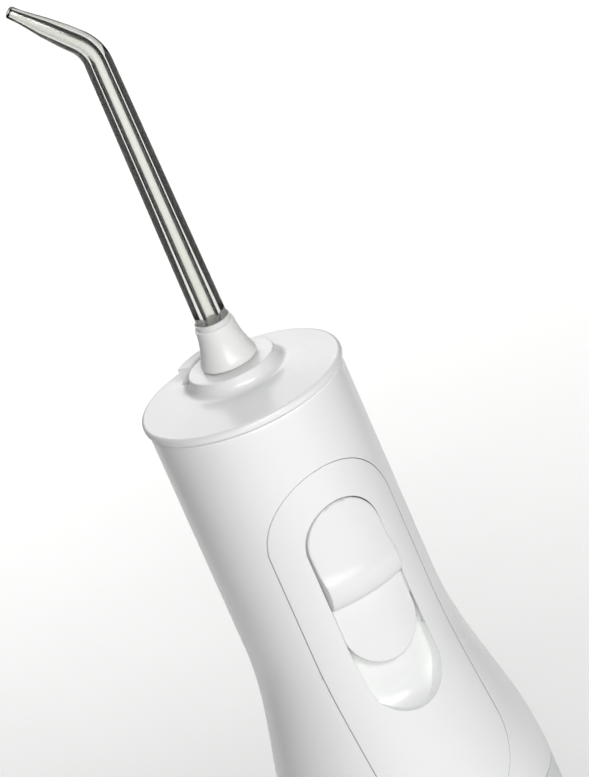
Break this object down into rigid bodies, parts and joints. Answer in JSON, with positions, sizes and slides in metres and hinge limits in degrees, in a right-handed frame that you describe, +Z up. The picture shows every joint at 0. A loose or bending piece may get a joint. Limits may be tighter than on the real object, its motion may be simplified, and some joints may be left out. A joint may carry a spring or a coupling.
{
  "type": "water flosser",
  "caption": "Cordless water flosser with a round white handle, slide switch, clear bent jet tip that turns and pulls off, and a lift-off water tank.",
  "frame": {"origin": "on the floor, under the axis of the round handle", "axes": "+Z up along the handle towards the jet tip; -Y is the side with the slide switch"},
  "size_m": [0.063, 0.063, 0.2911],
  "materials": {
    "white_plastic": "satin moulded",
    "tank_plastic": "glossy moulded",
    "clear_plastic": "clear moulded plastic",
    "grey_plastic": "matt moulded",
    "black_plastic": "matt moulded",
    "soft_white_rubber": "soft matt",
    "seal_rubber": "matt",
    "steel": "bright",
    "brass": "machined",
    "circuit_board": "solder mask",
    "battery_wrap": "shrink film"
  },
  "bodies": {
    "tank": {"reservoir_tank": "tank_plastic", "foot_ring": "seal_rubber", "lid_hinge_pin": "steel"},
    "fill_lid": {"fill_lid": "white_plastic", "lid_gasket": "seal_rubber"},
    "handle": {"battery_cell_1": "battery_wrap", "battery_cell_2": "battery_wrap", "bulkhead": "grey_plastic", "bulkhead_screw_1": "steel", "bulkhead_screw_2": "steel", "bulkhead_screw_3": "steel", "bulkhead_screw_4": "steel", "charge_module": "black_plastic", "charge_socket": "black_plastic", "chassis": "grey_plastic", "circuit_board": "circuit_board", "control_panel": "white_plastic", "eject_spring": "steel", "gear_axle": "steel", "handle_shell": "white_plastic", "hose_grommet": "seal_rubber", "intake_filter": "grey_plastic", "intake_hose": "clear_plastic", "motor": "steel", "nozzle_socket": "white_plastic", "outlet_hose": "clear_plastic", "outlet_valve_spring": "steel", "port_hinge_pin": "steel", "pump_cylinder": "white_plastic", "pump_head": "white_plastic", "reed_switch": "clear_plastic", "tank_seal": "seal_rubber", "top_cap": "white_plastic"},
    "port_cover": {"port_cover": "soft_white_rubber"},
    "switch": {"slide_switch": "white_plastic", "switch_magnet": "steel"},
    "eject_button": {"eject_button": "white_plastic"},
    "tip_seal": {"nozzle_o_ring": "seal_rubber"},
    "tip": {"nozzle_hub": "white_plastic", "nozzle_tube": "clear_plastic"},
    "crown_gear": {"crown_gear": "white_plastic"},
    "motor_rotor": {"motor_pinion": "brass"},
    "piston": {"piston": "white_plastic", "piston_seal": "seal_rubber", "wrist_pin": "steel"},
    "connecting_rod": {"connecting_rod": "grey_plastic"},
    "valve_ball": {"outlet_valve_ball": "steel"}
  },
  "joints": [
    {"name": "handle_lift", "type": "slide", "parent": "tank", "child": "handle", "axis": [0, 0, 1], "range_m": [0, 0.08]},
    {"name": "fill_lid_hinge", "type": "hinge", "parent": "tank", "child": "fill_lid", "pos_m": [0, 0.03005, 0.0428], "axis": [-1, 0, 0], "range_deg": [0, 90]},
    {"name": "port_cover_hinge", "type": "hinge", "parent": "handle", "child": "port_cover", "pos_m": [0, 0.0292, 0.0873], "axis": [-1, 0, 0], "range_deg": [0, 90]},
    {"name": "switch_slide", "type": "slide", "parent": "handle", "child": "switch", "axis": [0, 0, -1], "range_m": [0, 0.008]},
    {"name": "eject_press", "type": "slide", "parent": "handle", "child": "eject_button", "axis": [0, 0, -1], "range_m": [0, 0.0015], "stiffness_N_per_m": 900, "springref_m": -0.001, "deforming": ["eject_spring"]},
    {"name": "tip_pull", "type": "slide", "parent": "handle", "child": "tip_seal", "axis": [0, 0, 1], "range_m": [0, 0.015]},
    {"name": "tip_spin", "type": "hinge", "parent": "tip_seal", "child": "tip", "pos_m": [0.002, 0.0055, 0.19], "axis": [0, 0, 1], "continuous": true},
    {"name": "crown_gear_spin", "type": "hinge", "parent": "handle", "child": "crown_gear", "pos_m": [0, 0, 0.128], "axis": [0, 1, 0], "continuous": true},
    {"name": "motor_spin", "type": "hinge", "parent": "handle", "child": "motor_rotor", "pos_m": [0, -0.0045, 0.119], "axis": [0, 0, 1], "continuous": true},
    {"name": "piston_stroke", "type": "slide", "parent": "handle", "child": "piston", "axis": [0, 0, -1], "range_m": [0, 0.007]},
    {"name": "rod_swing", "type": "hinge", "parent": "piston", "child": "connecting_rod", "pos_m": [0, -0.0045, 0.1475], "axis": [0, 1, 0], "range_deg": [-12.5, 12.5]},
    {"name": "valve_lift", "type": "slide", "parent": "handle", "child": "valve_ball", "axis": [0, 0, 1], "range_m": [0, 0.0006], "stiffness_N_per_m": 60, "springref_m": -0.001, "deforming": ["outlet_valve_spring"]}
  ],
  "couplings": [
    {"joint": "motor_spin", "follows": "crown_gear_spin", "ratio": 3}
  ]
}
